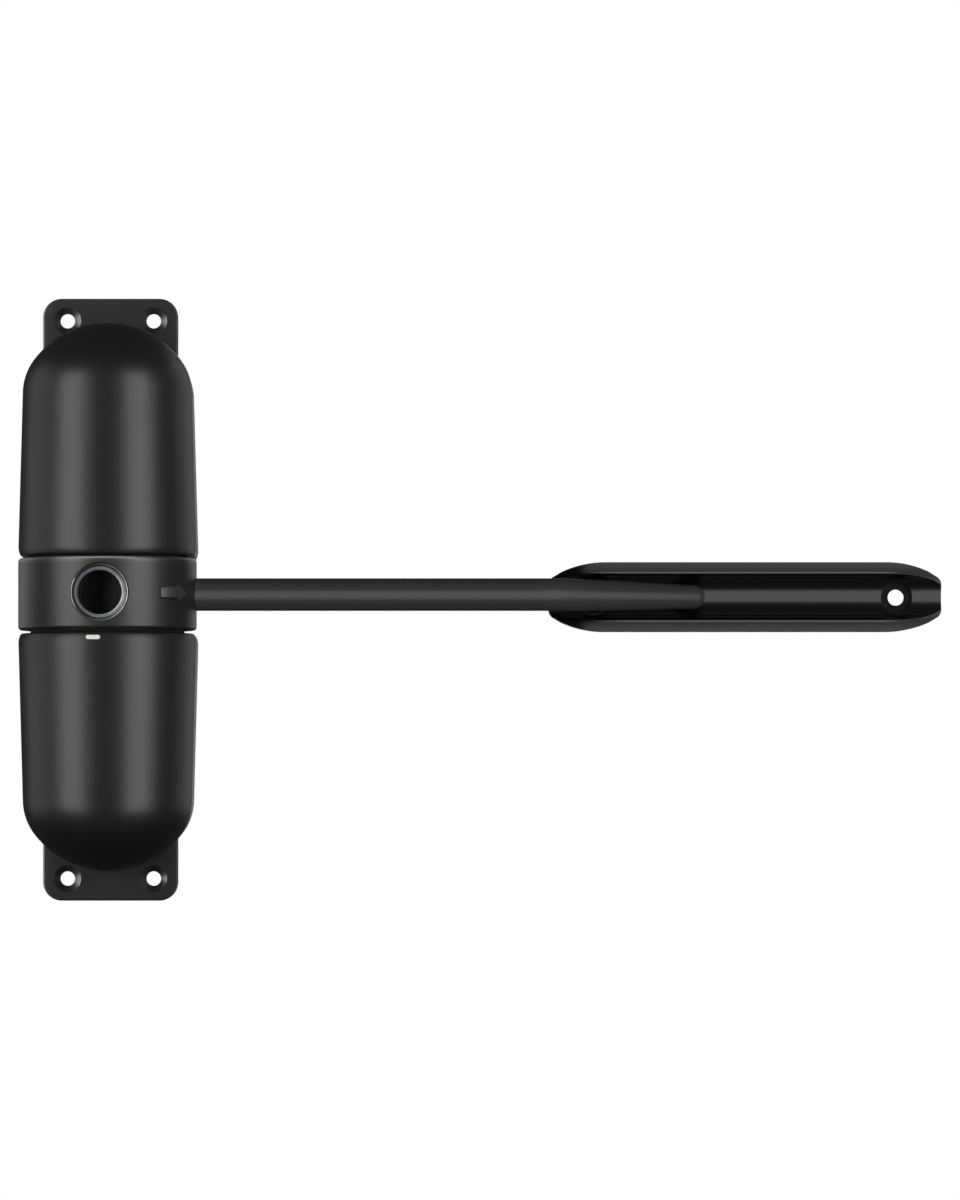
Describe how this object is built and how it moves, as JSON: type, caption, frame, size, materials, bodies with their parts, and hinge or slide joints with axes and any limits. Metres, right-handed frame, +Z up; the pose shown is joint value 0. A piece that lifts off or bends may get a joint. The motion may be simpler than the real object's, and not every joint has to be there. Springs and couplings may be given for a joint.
{
  "type": "spring door closer",
  "caption": "Surface-mounted spring door closer: base plate, two domed spring covers, a turning ring with a socket, and a bent round rod whose tip runs in a grooved slide plate.",
  "frame": {"origin": "centre of the base plate's back face, on the wall", "axes": "+Y into the wall, so -Y is the front; +X towards the rod and the slide plate; +Z up along the shaft"},
  "size_m": [0.2058, 0.0419, 0.135],
  "materials": {
    "cover_paint": "satin",
    "plate_paint": "satin",
    "drum_paint": "satin",
    "rod_paint": "satin",
    "track_paint": "satin",
    "sleeve_steel": "brushed",
    "ground_steel": "ground",
    "zinc_steel": "zinc plated",
    "spring_steel": "oiled",
    "bush_bronze": "sintered",
    "guide_plastic": "matte",
    "ball_nylon": "smooth",
    "mark_white": "matte"
  },
  "bodies": {
    "housing": {"base_plate": "plate_paint", "upper_bracket": "zinc_steel", "lower_bracket": "zinc_steel", "bracket_rivets": "zinc_steel", "shaft": "ground_steel", "shaft_washers": "zinc_steel", "shaft_nuts": "zinc_steel", "upper_spring": "spring_steel", "lower_spring": "spring_steel", "upper_spring_guide": "guide_plastic", "lower_spring_guide": "guide_plastic", "upper_cover": "cover_paint", "lower_cover": "cover_paint", "cover_screws": "zinc_steel", "index_mark": "mark_white"},
    "arm": {"drum": "drum_paint", "front_socket_sleeve": "sleeve_steel", "arm_socket_sleeve": "sleeve_steel", "upper_bush": "bush_bronze", "lower_bush": "bush_bronze", "arm_rod": "rod_paint"},
    "nose": {"nose_ball": "ball_nylon"},
    "track": {"slide_plate": "track_paint"}
  },
  "joints": [
    {"name": "arm_swing", "type": "hinge", "parent": "housing", "child": "arm", "pos_m": [0, -0.0222, 0.0005], "axis": [0, 0, -1], "range_deg": [0, 120], "stiffness_Nm_per_rad": 1, "springref_deg": -137.51, "deforming": ["upper_spring", "lower_spring"]},
    {"name": "nose_swivel", "type": "hinge", "parent": "arm", "child": "nose", "pos_m": [0.1303, -0.0046, 0.0005], "axis": [0, 0, -1], "range_deg": [0, 15]},
    {"name": "track_slide", "type": "slide", "parent": "nose", "child": "track", "axis": [1, 0, 0], "range_m": [-0.038, 0.016]}
  ]
}
